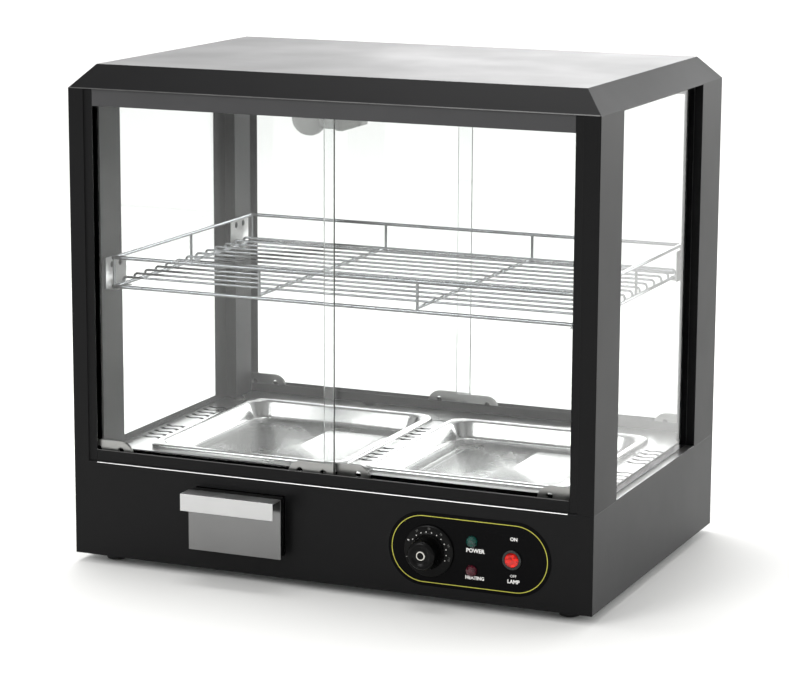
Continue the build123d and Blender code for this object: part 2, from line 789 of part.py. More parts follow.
with BuildPart() as drawer_runners:
    ledge_level = drawer_floor_height - seat_clearance
    guide_top = drawer_floor_height + runner_guide_rise
    runner_start = half_depth - 2 * sheet
    runner_length = runner_start - tray_back + runner_overrun
    for side in (-1, 1):
        guide = drawer_place + side * (drawer_face_width / 2 - drawer_side_overlap + runner_side_clearance)
        with BuildSketch(facing(runner_start)):
            span(min(guide, guide + side * sheet), max(guide, guide + side * sheet), sheet, guide_top)
            inner = guide - side * runner_ledge
            span(min(guide, inner), max(guide, inner), ledge_level - sheet, ledge_level)
        extrude(amount=-runner_length)
drawer_runners.part.label = "drawer_runners"

# Control plate on the fascia, with a hole for everything that passes through it
with BuildPart() as control_plate:
    with BuildSketch(facing(half_depth)):
        with Locations(((panel_left + panel_right) / 2, panel_middle)):
            SlotOverall(panel_length, panel_top - panel_bottom)
        with Locations((knob_place, knob_height)):
            Circle(bushing_diameter / 2 + panel_hole_clearance, mode=Mode.SUBTRACT)
        with Locations((lamp_column, green_lamp_height), (lamp_column, red_lamp_height)):
            Circle(lens_stem_diameter / 2 + panel_hole_clearance, mode=Mode.SUBTRACT)
        with Locations((switch_place, switch_height)):
            Circle(switch_barrel_diameter / 2 + panel_hole_clearance, mode=Mode.SUBTRACT)
    extrude(amount=panel_sheet)
control_plate.part.label = "control_plate"


def turned(place, height, points):
    # Face of a turned piece: points are radius and reach in front of the fascia
    axis_plane = Plane(
        origin=(place, case_y - half_depth, foot_height + height), x_dir=(1, 0, 0), z_dir=(0, 0, 1)
    )
    with BuildSketch(axis_plane) as profile:
        with BuildLine():
            Polyline(*[(radius, -reach) for radius, reach in points], close=True)
        make_face()
    revolve(profile.sketch, axis=Axis(axis_plane.origin, (0, 1, 0)))


knob_back = panel_sheet + knob_gap
spindle_front = knob_back + knob_skirt_thickness + knob_reach - spindle_tip_gap
spindle_radius = spindle_diameter / 2
with BuildPart() as knob:
    skirt_front = knob_back + knob_skirt_thickness
    knob_front = skirt_front + knob_reach
    boss = knob_boss_diameter / 2
    bore = spindle_radius + spindle_clearance
    hollow_floor = knob_front - 2 * knob_wall
    turned(knob_place, knob_height, (
        (bore, knob_back + knob_wall),
        (boss, knob_back + knob_wall),
        (boss, hollow_floor),
        (knob_tip_diameter / 2 - knob_wall, hollow_floor),
        (knob_grip_diameter / 2 - knob_wall, knob_back),
        (knob_skirt_diameter / 2, knob_back),
        (knob_skirt_diameter / 2, skirt_front),
        (knob_grip_diameter / 2, skirt_front),
        (knob_tip_diameter / 2, knob_front),
        (0, knob_front),
        (0, spindle_front + spindle_clearance),
        (bore, spindle_front + spindle_clearance),
    ))
    rims = knob.edges().filter_by(GeomType.CIRCLE).group_by(Axis.Y)
    fillet(rims[0], radius=knob_tip_rounding)
knob.part.label = "knob"

with BuildPart() as thermostat_spindle:
    turned(knob_place, knob_height, (
        (0, spindle_front - spindle_length), (spindle_radius, spindle_front - spindle_length),
        (spindle_radius, spindle_front), (0, spindle_front),
    ))
thermostat_spindle.part.label = "thermostat_spindle"

with BuildPart() as thermostat:
    with BuildSketch(facing(half_depth - sheet)):
        with Locations((knob_place, knob_height)):
            Rectangle(thermostat_width, thermostat_width)
    extrude(amount=-thermostat_depth)
    with BuildSketch(facing(half_depth - sheet)):
        with Locations((knob_place, knob_height)):
            Circle(bushing_diameter / 2)
    extrude(amount=sheet + panel_sheet)
    with BuildSketch(facing(half_depth + panel_sheet)):
        with Locations((knob_place, knob_height)):
            Circle(spindle_radius + spindle_clearance)
    spindle_depth = spindle_length - spindle_front + panel_sheet
    extrude(amount=-spindle_depth - spindle_clearance, mode=Mode.SUBTRACT)
thermostat.part.label = "thermostat"


def indicator(height, label):
    with BuildPart() as lamp:
        lens = lens_diameter / 2
        stem = lens_stem_diameter / 2
        turned(lamp_column, height, (
            (0, panel_sheet - lens_stem_length), (stem, panel_sheet - lens_stem_length),
            (stem, panel_sheet), (lens, panel_sheet),
            (lens, panel_sheet + lens_reach), (0, panel_sheet + lens_reach),
        ))
        front = lamp.edges().filter_by(GeomType.CIRCLE).group_by(Axis.Y)[0]
        fillet(front, radius=lens_reach * 0.6)
    lamp.part.label = label
    return lamp


indicator_green = indicator(green_lamp_height, "indicator_green")
indicator_red = indicator(red_lamp_height, "indicator_red")

# Round rocker switch: a ball-sided rocker on two pins in a barrel with a bezel
pivot_reach = panel_sheet + bezel_reach - rocker_reach / 2
switch_well = rocker_diameter / 2 + rocker_clearance
well_depth = rocker_diameter / 2 + rocker_clearance
with BuildPart() as switch_housing:
    barrel = switch_barrel_diameter / 2
    bezel = bezel_diameter / 2
    bezel_front = panel_sheet + bezel_reach
    turned(switch_place, switch_height, (
        (0, panel_sheet - switch_barrel_length), (barrel, panel_sheet - switch_barrel_length),
        (barrel, panel_sheet), (bezel, panel_sheet), (bezel, bezel_front),
        (switch_well, bezel_front), (switch_well, pivot_reach - well_depth), (0, pivot_reach - well_depth),
    ))
    with BuildSketch(Plane.YZ.offset(switch_place - switch_well - rocker_pin_length)):
        with Locations((case_y - half_depth - pivot_reach, foot_height + switch_height)):
            Circle(rocker_pin_diameter / 2 + pin_clearance)
    extrude(amount=2 * (switch_well + rocker_pin_length), mode=Mode.SUBTRACT)
    bezel_rim = switch_housing.edges().filter_by(GeomType.CIRCLE).group_by(Axis.Y)[0]
    fillet(bezel_rim.sort_by(SortBy.RADIUS)[-1], radius=bezel_reach / 3)
switch_housing.part.label = "switch_housing"

with BuildPart() as rocker:
    pivot = (switch_place, case_y - half_depth - pivot_reach, foot_height + switch_height)
    with Locations(pivot):
        Sphere(rocker_diameter / 2)
    rocker_half = rocker_diameter / 2
    with BuildSketch(Plane(origin=pivot, x_dir=(0, 1, 0), z_dir=(1, 0, 0)).offset(-rocker_half)):
        with BuildLine():
            Polyline(
                (-rocker_reach / 2, 0), (-rocker_reach, rocker_half), (rocker_reach, rocker_half),
                (rocker_reach, -rocker_half), (-rocker_reach, -rocker_half), close=True,
            )
        make_face()
    extrude(amount=2 * rocker_half, mode=Mode.INTERSECT)
    with Locations(pivot):
        Cylinder(
            rocker_pin_diameter / 2, 2 * (switch_well + rocker_pin_length - rocker_clearance),
            rotation=(0, 90, 0),
        )
rocker.part = rocker.part.rotate(Axis(pivot, (1, 0, 0)), rocker_tilt)
rocker.part.label = "rocker"

# Heater: a two-leg tube behind the drawer, on clips that stand on the bottom tray
heater_radius = heater_diameter / 2
heater_place = half_depth - heater_wall_gap
heater_span = case_width - 2 * heater_end_gap
leg_rows = (heater_place - heater_pitch / 2, heater_place + heater_pitch / 2)
with BuildPart() as heater_element:
    with BuildLine() as heater_path:
        FilletPolyline(
            (heater_span / 2, case_y + leg_rows[0], foot_height + heater_height),
            (-heater_span / 2, case_y + leg_rows[0], foot_height + heater_height),
            (-heater_span / 2, case_y + leg_rows[1], foot_height + heater_height),
            (heater_span / 2, case_y + leg_rows[1], foot_height + heater_height),
            radius=heater_pitch * 0.4,
        )
    with BuildSketch(Plane(origin=heater_path.line @ 0, z_dir=heater_path.line % 0)):
        Circle(heater_radius)
    sweep(path=heater_path.line)
heater_element.part.label = "heater_element"

with BuildPart() as heater_clips:
    clip_spacing = heater_span - 2 * clip_end_gap
    for place in (-clip_spacing / 2, clip_spacing / 2):
        with BuildSketch(across(place - clip_width / 2)):
            span(leg_rows[0] - clip_width, leg_rows[1] + clip_width, sheet, sheet + clip_sheet)
            for row in leg_rows:
                collar = heater_radius + clip_clearance + clip_sheet
                with Locations((row, heater_height)):
                    Circle(collar)
                span(row - clip_sheet / 2, row + clip_sheet / 2, sheet, heater_height)
            for row in leg_rows:
                with Locations((row, heater_height)):
                    Circle(heater_radius + clip_clearance, mode=Mode.SUBTRACT)
        extrude(amount=clip_width)
heater_clips.part.label = "heater_clips"

with BuildPart() as terminal_block:
    with BuildSketch(level(sheet)):
        with Locations((half_width - terminal_edge_gap, half_depth - terminal_wall_gap)):
            Rectangle(terminal_length, terminal_depth)
    extrude(amount=terminal_height)
    with BuildSketch(level(sheet + terminal_height)):
        with Locations((half_width - terminal_edge_gap, half_depth - terminal_wall_gap)):
            with GridLocations(terminal_length / 5, 1, 4, 1):
                Circle(terminal_depth / 6)
    extrude(amount=-terminal_height / 3, mode=Mode.SUBTRACT)
terminal_block.part.label = "terminal_block"

# Sensing bulb between the pans, on a capillary from the thermostat's back
sensor_height = base_height - sensor_drop
capillary_start = -half_depth + sheet + thermostat_depth
capillary_row = capillary_start + 2 * capillary_bend
with BuildPart() as thermostat_sensor:
    with BuildLine() as capillary:
        FilletPolyline(
            (knob_place, case_y + capillary_start, foot_height + knob_height),
            (knob_place, case_y + capillary_row, foot_height + knob_height),
            (0, case_y + capillary_row, foot_height + knob_height),
            (0, case_y + capillary_row, foot_height + sensor_height),
            (0, case_y + capillary_row + 3 * capillary_bend, foot_height + sensor_height),
            radius=capillary_bend * 0.9,
        )
    with BuildSketch(Plane(origin=capillary.line @ 0, z_dir=capillary.line % 0)):
        Circle(capillary_diameter / 2)
    sweep(path=capillary.line)
    with BuildSketch(Plane(origin=capillary.line @ 1, z_dir=capillary.line % 1)):
        Circle(sensor_diameter / 2)
    extrude(amount=sensor_length)
thermostat_sensor.part.label = "thermostat_sensor"

# Cable gland in the rear panel: the lead's inlet
with BuildPart() as cable_gland:
    gland_origin = (gland_place, case_y + half_depth, foot_height + gland_height)
    with BuildSketch(Plane(origin=gland_origin, x_dir=(1, 0, 0), z_dir=(0, 0, 1))):
        with BuildLine():
            Polyline(
                (gland_bore / 2, gland_reach), (gland_diameter / 2 - 2, gland_reach),
                (gland_diameter / 2, gland_reach * 0.6), (gland_diameter / 2, 0),
                (gland_thread_diameter / 2, 0), (gland_thread_diameter / 2, gland_reach - gland_length),
                (gland_bore / 2, gland_reach - gland_length), close=True,
            )
        make_face()
    revolve(axis=Axis(gland_origin, (0, 1, 0)))
cable_gland.part.label = "cable_gland"

# Screws that hold the rear panel to the bottom tray's edge
with BuildPart() as case_screws:
    with BuildSketch(facing(-half_depth)):
        with Locations(*screw_spots):
            Circle(screw_diameter / 2)
    extrude(amount=screw_length)
    with BuildSketch(facing(-half_depth)):
        with Locations(*screw_spots):
            Circle(screw_head_diameter / 2)
    extrude(amount=-screw_head_height)
    heads = case_screws.edges().filter_by(GeomType.CIRCLE).group_by(Axis.Y)[-1]
    fillet(heads, radius=screw_head_height / 2)
case_screws.part.label = "case_screws"

pieces = [
    base_front_panel, base_rear_panel, base_side_panel_right, base_side_panel_left, base_bottom_pan, feet,
    post_front_right, post_front_left, post_rear_right, post_rear_left, top_cap, ceiling_panel,
    track_front_bottom, track_rear_bottom, track_front_top, track_rear_top,
    side_frame_right, side_frame_left, side_glass_right, side_glass_left, deck, pan_left, pan_right,
    door_glass_front_left, door_glass_front_right, door_glass_rear_left, door_glass_rear_right,
    door_shoes_front_left, door_shoes_front_right, door_shoes_rear_left, door_shoes_rear_right,
    shelf_frame, shelf_wires, shelf_brackets, bulb, lamp_holder, drawer_tray, drawer_face, drawer_runners,
    control_plate, knob, thermostat_spindle, thermostat, thermostat_sensor, indicator_green, indicator_red,
    switch_housing, rocker, heater_element, heater_clips, terminal_block, cable_gland, case_screws,
]
for piece in pieces:
    save(piece)
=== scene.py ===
import json
import math

import bmesh
import bpy
from mathutils import Matrix, Vector


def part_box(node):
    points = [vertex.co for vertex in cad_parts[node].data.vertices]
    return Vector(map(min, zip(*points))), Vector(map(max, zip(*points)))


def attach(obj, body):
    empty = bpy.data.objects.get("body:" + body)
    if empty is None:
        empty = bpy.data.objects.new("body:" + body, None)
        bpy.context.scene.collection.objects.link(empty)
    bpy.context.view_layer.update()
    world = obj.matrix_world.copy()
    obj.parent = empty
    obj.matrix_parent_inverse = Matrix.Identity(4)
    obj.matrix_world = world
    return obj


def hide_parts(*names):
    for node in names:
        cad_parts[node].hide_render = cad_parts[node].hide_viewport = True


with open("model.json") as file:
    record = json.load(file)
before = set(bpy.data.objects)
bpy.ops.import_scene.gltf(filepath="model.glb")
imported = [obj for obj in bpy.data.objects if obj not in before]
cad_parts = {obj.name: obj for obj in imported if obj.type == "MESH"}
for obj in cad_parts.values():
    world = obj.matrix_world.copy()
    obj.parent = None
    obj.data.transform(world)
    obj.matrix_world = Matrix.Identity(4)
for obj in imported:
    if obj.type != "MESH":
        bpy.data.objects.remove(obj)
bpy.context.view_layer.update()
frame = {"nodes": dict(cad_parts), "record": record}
nodes = frame["nodes"]
bodyOf = {
    node: body for body, members in frame["record"]["behaviour"]["bodies"].items() for node in members
}
slotOf = {row["node"]: row["material_slot"] for row in frame["record"]["subparts"]}
print("frame loaded,", len(nodes), "nodes")

# Finishes


def linearColour(code):
    # sRGB hex to linear RGBA
    parts = [int(code[place:place + 2], 16) / 255 for place in (1, 3, 5)]
    return [part / 12.92 if part <= 0.04045 else ((part + 0.055) / 1.055) ** 2.4 for part in parts] + [1.0]


def addNode(tree, kind, settings=None, links=None):
    node = tree.nodes.new(kind)
    for key, value in (settings or {}).items():
        if isinstance(key, str) and hasattr(node, key):
            setattr(node, key, value)
        else:
            node.inputs[key].default_value = value
    for key, source in (links or {}).items():
        tree.links.new(source, node.inputs[key])
    return node


def makeFinish(name, colours, patch, rough, grain, lift, stretch=(1, 1, 1), cells=False, **shaderValues):
    # colours, roughness and relief all vary over the surface; patch, grain and lift are in millimetres
    finish = bpy.data.materials.new(name)
    finish.use_nodes = True
    tree = finish.node_tree
    shader = tree.nodes["Principled BSDF"]
    place = addNode(tree, "ShaderNodeTexCoord").outputs["Object"]
    clouds = addNode(tree, "ShaderNodeTexNoise", {"Scale": 1000 / patch, "Detail": 3.0}, {"Vector": place})
    drawn = addNode(tree, "ShaderNodeMapping", {"Scale": stretch}, {"Vector": place})
    if cells:
        texture = addNode(
            tree, "ShaderNodeTexVoronoi", {"Scale": 1000 / grain}, {"Vector": drawn.outputs[0]},
        )
        tone = addNode(
            tree, "ShaderNodeSeparateColor", None, {"Color": texture.outputs["Color"]},
        ).outputs[0]
        relief = texture.outputs["Distance"]
    else:
        texture = addNode(
            tree, "ShaderNodeTexNoise", {"Scale": 1000 / grain, "Detail": 2.0},
            {"Vector": drawn.outputs[0]},
        )
        tone = clouds.outputs["Fac"]
        relief = texture.outputs["Fac"]
    tint = addNode(
        tree, "ShaderNodeMix",
        {"data_type": "RGBA", 6: linearColour(colours[0]), 7: linearColour(colours[1])}, {0: tone},
    )
    # most of the noise lies between these two values
    sheen = addNode(
        tree, "ShaderNodeMapRange",
        {"From Min": 0.3, "From Max": 0.7, "To Min": rough[0], "To Max": rough[1]},
        {"Value": clouds.outputs["Fac"]},
    )
    tree.links.new(tint.outputs[2], shader.inputs["Base Color"])
    tree.links.new(sheen.outputs[0], shader.inputs["Roughness"])
    if lift:
        bump = addNode(
            tree, "ShaderNodeBump", {"Strength": 1.0, "Distance": lift / 1000}, {"Height": relief},
        )
        tree.links.new(bump.outputs[0], shader.inputs["Normal"])
    for key, value in shaderValues.items():
        shader.inputs[key.replace("_", " ")].default_value = value
    return finish


finishes = {
    # stoved enamel on steel: near black, satin, with a faint orange peel;
    # dark from ahead, a soft mirror from the side
    "gloss_black_steel": makeFinish(
        "stovedBlackEnamel", ("#09090a", "#0e0e0f"), 120, (0.37, 0.42), 2.4, 0.0012, IOR=1.24,
    ),
    # hot-dip galvanised tray: dull grey with faint spangles
    "zinc_coated_steel": makeFinish(
        "galvanisedSteel", ("#85888a", "#a9acad"), 40, (0.36, 0.5), 9, 0.004, cells=True, Metallic=1.0,
    ),
    # moulded rubber: matt and slightly dusty
    "rubber": makeFinish("mouldedRubber", ("#141414", "#222221"), 12, (0.6, 0.8), 0.8, 0.03),
    # brushed stainless, grain along the case; the lines are drawn coarser than real ones so that they show
    "stainless_sheet": makeFinish(
        "brushedStainless", ("#afafae", "#bababa"), 60, (0.26, 0.32), 0.9, 0.0008, (0.03, 1, 1),
        Metallic=1.0,
    ),
    # deep-drawn stainless: bright, with the soft waves of the press
    "stainless_pan": makeFinish(
        "pressedStainless", ("#bfbfbe", "#cbcbca"), 35, (0.22, 0.28), 6, 0.001, Metallic=1.0,
    ),
    # tumbled stainless shoes: grey, satin
    "stainless_shoe": makeFinish(
        "tumbledStainless", ("#8e8e8c", "#a5a5a3"), 14, (0.3, 0.42), 0.7, 0.004, Metallic=1.0,
    ),
    # folded stainless brackets: satin
    "stainless_bracket": makeFinish(
        "satinStainless", ("#8f8f8e", "#a9a9a8"), 16, (0.28, 0.38), 0.7, 0.004, Metallic=1.0,
    ),
    # drawer front in brushed stainless, grain along its width; painted darker than its grip: painted shade
    # cast by the grip
    "stainless_drawer": makeFinish(
        "brushedDrawerStainless", ("#727272", "#7d7d7d"), 50, (0.16, 0.22), 0.8, 0.0015, (0.03, 1, 1),
        Metallic=1.0,
    ),
    # chromium plated wire: a dark and bright mirror, its colour darkened below plain chrome as painted
    # reflection of a dark room
    "chromed_wire": makeFinish(
        "chromedWire", ("#787a7c", "#909294"), 25, (0.06, 0.13), 3, 0.002, Metallic=1.0,
    ),
    # float glass: clear, with a breath of wiping marks
    "clear_glass": makeFinish(
        "floatGlass", ("#f8faf9", "#fafbfb"), 80, (0.0, 0.012), 5, 0,
        Transmission_Weight=1.0, IOR=1.5,
    ),
    # etched bulb glass: white, half see-through
    "frosted_glass": makeFinish(
        "etchedBulbGlass", ("#f4f4f3", "#fbfbfa"), 10, (0.35, 0.5), 0.8, 0.004,
        Transmission_Weight=0.1, IOR=1.5,
    ),
    # urea lamp holder: pale grey, moulded
    "lamp_holder_plastic": makeFinish("mouldedUrea", ("#d4d4d2", "#e0e0de"), 9, (0.3, 0.42), 0.7, 0.006),
    # screen-printed polyester film: black, satin gloss
    "control_plate_film": makeFinish(
        "printedPolyesterFilm", ("#040405", "#070708"), 70, (0.2, 0.28), 0.6, 0.0008, IOR=1.14,
    ),
    # phenolic knob: black, moulded, a polished sheen
    "knob_plastic": makeFinish(
        "mouldedKnobPhenolic", ("#040404", "#080808"), 10, (0.2, 0.28), 0.7, 0.002, IOR=1.22,
    ),
    # nylon housings: black, fine matt texture
    "black_plastic": makeFinish("blackNylon", ("#0b0b0b", "#131313"), 8, (0.2, 0.3), 0.6, 0.004),
    # drawn mild steel: grey, oiled
    "plain_steel": makeFinish(
        "drawnSteel", ("#86888a", "#a2a3a5"), 8, (0.25, 0.4), 0.6, 0.004, Metallic=1.0,
    ),
    # drawn copper capillary, slightly tarnished
    "copper_tube": makeFinish(
        "drawnCopper", ("#9a5a3a", "#c17d56"), 12, (0.25, 0.4), 0.8, 0.004, Metallic=1.0,
    ),
    # moulded acrylic lens, unlit green
    "green_lens": makeFinish(
        "greenAcrylic", ("#04302b", "#0b4f45"), 3, (0.08, 0.16), 1.2, 0.02, cells=True,
        Transmission_Weight=0.15, IOR=1.45, Coat_Weight=0.2,
    ),
    # moulded acrylic lens, unlit dark red
    "dark_red_lens": makeFinish(
        "darkRedAcrylic", ("#2e0510", "#541021"), 3, (0.08, 0.16), 1.2, 0.02, cells=True,
        Transmission_Weight=0.15, IOR=1.45, Coat_Weight=0.2,
    ),
    # moulded acrylic rocker with prism facets, lit from inside
    "red_lens": makeFinish(
        "litRedAcrylic", ("#7c0205", "#f52008"), 4, (0.08, 0.18), 3.2, 0.3, cells=True,
        Transmission_Weight=0.1, IOR=1.45, Coat_Weight=0.15,
        Emission_Color=linearColour("#c80a04"), Emission_Strength=0.12,
    ),
    # heater tube sheath: heat-tinted stainless
    "heater_sheath": makeFinish(
        "heatTintedStainless", ("#6b665c", "#857a66"), 22, (0.3, 0.45), 0.8, 0.004, Metallic=1.0,
    ),
}
# ground glass edge: whitish green, scatters light
groundEdge = makeFinish(
    "groundGlassEdge", ("#50534f", "#696c69"), 6, (0.3, 0.45), 0.5, 0.01,
    Transmission_Weight=0.25, IOR=1.5,
)
# screen-printing inks: dense and slightly rough
yellowInk = makeFinish("yellowScreenInk", ("#b5b33a", "#cbc84f"), 8, (0.4, 0.55), 0.4, 0.004)
whiteInk = makeFinish("whiteScreenInk", ("#e6e5e2", "#f4f3f0"), 6, (0.4, 0.55), 0.4, 0.004)
greyInk = makeFinish("greyScreenInk", ("#5c5c5a", "#737371"), 6, (0.4, 0.55), 0.4, 0.004)
# the drawer's grip, painted brighter than its front: a painted highlight
gripHighlight = makeFinish(
    "buffedGripStainless", ("#bcbcbc", "#cacaca"), 50, (0.34, 0.42), 0.8, 0.003, (0.03, 1, 1),
    Metallic=1.0,
)
# painted highlight along a fold: a fine bright metal line standing in for the light that the rounded fold
# catches
foldHighlight = makeFinish(
    "wornEnamelFold", ("#b9b9b8", "#e6e6e5"), 30, (0.3, 0.4), 0.8, 0.002, Metallic=1.0,
)
# the top rails for the doors: the same enamel painted greyer, painted light standing in for the light they
# catch
litRailEnamel = makeFinish("greyedRailEnamel", ("#3b3b3c", "#444445"), 90, (0.4, 0.46), 2.4, 0.0012, IOR=1.3)
# the same enamel on the base's sides and the back left post, duller and painted lighter: painted light,
# standing in for the even light they catch from the side
litSideEnamel = makeFinish("dullSideEnamel", ("#121213", "#18181a"), 120, (0.5, 0.56), 2.4, 0.0012, IOR=1.42)
# the window's sill outside the pane: bare stainless channel
sillMetal = makeFinish(
    "sillStainless", ("#a6a6a6", "#b4b4b3"), 40, (0.3, 0.38), 0.8, 0.001, (1, 0.03, 1), Metallic=1.0,
)
# painted highlight on edges: dull grey metal standing in for the light these edges catch
rubbedEdge = makeFinish("rubbedEdge", ("#4e4e4e", "#636362"), 20, (0.34, 0.44), 0.8, 0.002, Metallic=1.0)
# laser-cut slots: black cut oxide and painted shade on the cut, and a dark line of painted shade round
# each slot
cutOxide = makeFinish("cutOxide", ("#080808", "#161615"), 5, (0.6, 0.75), 0.5, 0.004)
# nickel-plated cap in the knob's front
nickel = makeFinish("nickelPlate", ("#c9c7c0", "#dcdad3"), 5, (0.12, 0.2), 0.5, 0.003, Metallic=1.0)

for node, piece in nodes.items():
    for materialSlot in piece.material_slots:
        materialSlot.material = finishes[slotOf[node]]
print("finishes made,", len(finishes))

# Helpers for pieces

weldWithin = 1e-6   # corners nearer than this are one, metres
turnedWeld = 1e-4   # the same for turned pieces, millimetres
printWeld = 1e-5   # the same for prints, millimetres
flatWithin = 0.5   # faces that turn less than this are joined, degrees
foldFrom = 35.0   # folds sharper than this are rounded, degrees
slight, mostly = 0.1, 0.9   # shares of a face's normal along a direction


def placePiece(bm, name, body, materials, sharpFrom=32.0, flat=False):
    # turns a bmesh, already in place and in metres, into a finished object that rides on a body
    mesh = bpy.data.meshes.new(name)
    bm.to_mesh(mesh)
    bm.free()
    for material in materials:
        mesh.materials.append(material)
    if not flat:
        mesh.shade_smooth()
        mesh.set_sharp_from_angle(angle=math.radians(sharpFrom))
    piece = bpy.data.objects.new(name, mesh)
    bpy.context.scene.collection.objects.link(piece)
    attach(piece, body)
    return piece


def standIn(piece, *names):
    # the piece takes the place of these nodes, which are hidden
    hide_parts(*names)
    return piece


def paintFaces(piece, isSecond):
    # the faces that pass the test take the second material, the others the first
    for face in piece.data.polygons:
        face.material_index = 1 if isSecond(face) else 0


def weldedCopy(node):
    bm = bmesh.new()
    bm.from_mesh(nodes[node].data)
    bmesh.ops.remove_doubles(bm, verts=bm.verts, dist=weldWithin)
    return bm


def mergedCopy(node):
    bm = weldedCopy(node)
    bmesh.ops.dissolve_limit(
        bm, angle_limit=math.radians(flatWithin), verts=bm.verts, edges=bm.edges,
    )
    return bm


def roundedFace(bm, width, depth, radius, height, corner):
    # a rounded rectangle about the origin, in millimetres, with this many steps in each corner
    known = set(bm.faces)
    size = Matrix.Translation((0, 0, height)) @ Matrix.Diagonal((width, depth, 1, 1))
    made = bmesh.ops.create_grid(bm, x_segments=1, y_segments=1, size=0.5, matrix=size)
    bmesh.ops.bevel(
        bm, geom=made["verts"], offset=radius, offset_type="OFFSET", segments=corner, profile=0.5,
        affect="VERTICES", material=-1,
    )
    return next(face for face in bm.faces if face not in known)


def loopStack(bm, width, depth, profile, corner):
    # bridges rounded rectangles into a skin; each row is inset, height and corner radius
    loops = []
    for inset, height, radius in profile:
        face = roundedFace(bm, width - 2 * inset, depth - 2 * inset, radius, height, corner)
        loops.append(list(face.edges))
        bmesh.ops.delete(bm, geom=[face], context="FACES_ONLY")
    for lower, upper in zip(loops, loops[1:]):
        bmesh.ops.bridge_loops(bm, edges=lower + upper)
    return loops


def turnedSkin(bm, profile, steps):
    # spins radius and reach pairs about Z, in millimetres
    points = [bm.verts.new((radius, 0, reach)) for radius, reach in profile]
    edges = [bm.edges.new(pair) for pair in zip(points, points[1:])]
    bmesh.ops.spin(
        bm, geom=points + edges, cent=(0, 0, 0), axis=(0, 0, 1), angle=2 * math.pi, steps=steps,
        use_merge=True,
    )
    bmesh.ops.remove_doubles(bm, verts=bm.verts, dist=turnedWeld)
    bmesh.ops.recalc_face_normals(bm, faces=bm.faces)


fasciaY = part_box("base_front_panel")[0].y
toMetres = Matrix.Scale(0.001, 4)
forward = Matrix.Rotation(math.radians(90), 4, "X")   # local Z turns to -Y, local Y to Z


def onFascia(x, z, reach=0.0):
    # places a piece that was made in millimetres about its axis, in front of the fascia
    return Matrix.Translation((x, fasciaY - reach / 1000, z)) @ forward @ toMetres


def centreOf(node):
    low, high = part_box(node)
    return (low + high) / 2


# Folded sheet metal

# how far each piece's sharp folds and cut edges are rounded, in millimetres
softEdges = {
    "base_front_panel": 0.25, "base_rear_panel": 0.25, "base_side_panel_right": 0.25,
    "base_side_panel_left": 0.25, "post_front_right": 0.35, "post_front_left": 0.35,
    "post_rear_right": 0.35, "post_rear_left": 0.35, "top_cap": 0.3, "track_front_bottom": 0.3,
    "track_rear_bottom": 0.3, "track_front_top": 0.3, "track_rear_top": 0.3, "side_frame_right": 0.3,
    "side_frame_left": 0.3, "drawer_face": 0.35, "drawer_tray": 0.25, "drawer_runners": 0.25,
    "shelf_brackets": 0.25, "door_shoes_front_left": 0.25, "door_shoes_front_right": 0.25,
    "door_shoes_rear_left": 0.25, "door_shoes_rear_right": 0.25, "control_plate": 0.2, "feet": 1.2,
    "switch_housing": 0.2, "cable_gland": 0.4, "ceiling_panel": 0.3,
}
softSteps = 2   # steps of each rounded edge
cutWithin = 1e-7   # corners this near a cut lie on it, metres
gripStart = 17.0   # the grip's reach in front of the fascia starts here, millimetres
sillRise = 3.0   # the sill lies within this height of the side frame's foot, millimetres
# folds painted with a highlight line: half length, height, depth, whether it is the upper edge, and the
# finish
highlightLines = {
    "base_front_panel": (299.0, 1.0, 1.25, True, foldHighlight),
    "track_front_bottom": (299.0, 0.8, 1.3, True, rubbedEdge),
    "top_cap": (328.5, 1.1, 2.2, False, rubbedEdge),
}
# sheets painted with a lighter copy of their slot's enamel: painted light
paintedLightCoats = {
    "track_front_top": litRailEnamel, "track_rear_top": litRailEnamel, "base_side_panel_right": litSideEnamel,
    "base_side_panel_left": litSideEnamel, "post_rear_left": litSideEnamel,
}


def markHighlightFold(bm, low, high, half, height, depth, isUpper):
    # the front fold along this edge takes the second material, the painted highlight
    inner = half / 1000
    line = high.z - height / 1000 if isUpper else low.z + height / 1000
    cuts = (((-inner, 0, 0), (1, 0, 0)), ((inner, 0, 0), (1, 0, 0)), ((0, 0, line), (0, 0, 1)))
    for place, normal in cuts:
        bmesh.ops.bisect_plane(
            bm, geom=bm.verts[:] + bm.edges[:] + bm.faces[:], dist=cutWithin, plane_co=place,
            plane_no=normal,
        )
    for face in bm.faces:
        middle = face.calc_center_median()
        inFold = middle.y < low.y + depth / 1000 and (middle.z > line) == isUpper
        if inFold and abs(middle.x) < inner and face.normal.y < -slight:
            face.material_index = 1


def softEdged(node, width, name, materials):
    bm = mergedCopy(node)
    if node in highlightLines:
        markHighlightFold(bm, *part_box(node), *highlightLines[node][:4])
        materials = materials + [highlightLines[node][4]]
    sharp = [
        edge for edge in bm.edges
        if edge.is_manifold and edge.is_convex and edge.calc_face_angle(0.0) > math.radians(foldFrom)
    ]
    bmesh.ops.bevel(
        bm, geom=sharp, offset=width / 1000, offset_type="OFFSET", segments=softSteps, profile=0.5,
        affect="EDGES", material=-1, clamp_overlap=True,
    )
    piece = placePiece(bm, name, bodyOf[node], materials, sharpFrom=50.0)
    even = piece.modifiers.new("evenShading", "WEIGHTED_NORMAL")
    even.keep_sharp = True
    return standIn(piece, node)


def pieceName(node):
    first, *rest = node.split("_")
    return first + "".join(word.capitalize() for word in rest)


